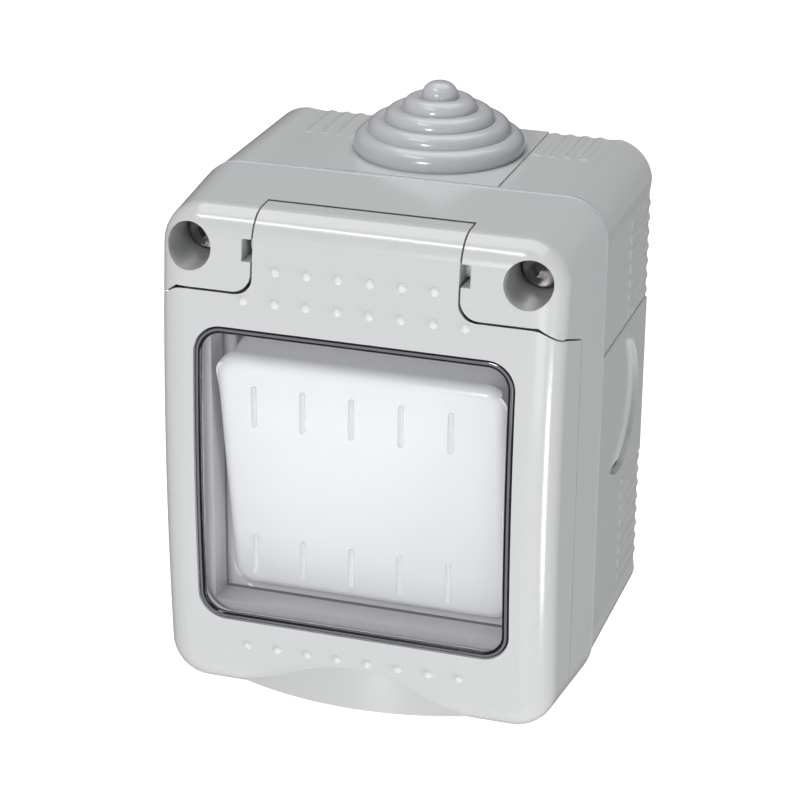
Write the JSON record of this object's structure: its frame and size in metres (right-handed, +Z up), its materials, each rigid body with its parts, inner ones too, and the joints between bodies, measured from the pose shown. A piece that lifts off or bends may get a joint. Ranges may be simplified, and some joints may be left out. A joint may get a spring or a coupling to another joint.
{
  "type": "outdoor weatherproof switch",
  "caption": "Surface-mounted outdoor rocker switch in light grey plastic with a flip-up lid, smoky membrane window, white rocker and a stepped cable grommet on top.",
  "frame": {"origin": "middle of the wall face, where the back of the box meets the wall", "axes": "+X to the right seen from the front, +Y into the wall, +Z up"},
  "size_m": [0.0662, 0.0564, 0.0932],
  "materials": {
    "grey_shell": "semi-gloss moulded",
    "pale_seal": "soft matt",
    "smoky_window": "smoky clear",
    "dark_seal": "soft matt",
    "zinc_steel": "zinc plated",
    "insert_plastic": "matt moulded",
    "contact_brass": "stamped",
    "contact_silver": "plated",
    "white_rocker": "semi-gloss moulded",
    "grey_grommet": "soft satin"
  },
  "bodies": {
    "housing": {"back_box": "grey_shell", "front_frame": "grey_shell", "housing_gasket": "pale_seal", "cable_grommet": "grey_grommet", "housing_screws": "zinc_steel", "mechanism_body": "insert_plastic", "mechanism_screws": "zinc_steel", "common_terminal": "contact_brass", "switched_terminal": "contact_brass", "fixed_contact": "contact_silver", "terminal_clamps": "contact_brass", "terminal_screws": "zinc_steel"},
    "lid": {"lid": "grey_shell", "window_membrane": "smoky_window", "window_retainer": "grey_shell", "lid_seal": "dark_seal"},
    "rocker": {"rocker": "white_rocker", "plunger": "insert_plastic", "plunger_spring": "zinc_steel"},
    "contact_bar": {"contact_bar": "contact_brass", "moving_contact": "contact_silver"}
  },
  "joints": [
    {"name": "lid_hinge", "type": "hinge", "parent": "housing", "child": "lid", "pos_m": [0, -0.0489, 0.0347], "axis": [-1, 0, 0], "range_deg": [0, 105]},
    {"name": "rocker_pivot", "type": "hinge", "parent": "housing", "child": "rocker", "pos_m": [0, -0.036, -0.00246], "axis": [1, 0, 0], "range_deg": [-20, 0]},
    {"name": "contact_tilt", "type": "hinge", "parent": "housing", "child": "contact_bar", "pos_m": [0, -0.02565, -0.00246], "axis": [1, 0, 0], "range_deg": [0, 16]}
  ],
  "couplings": [
    {"joint": "contact_tilt", "follows": "rocker_pivot", "ratio": -0.8}
  ]
}
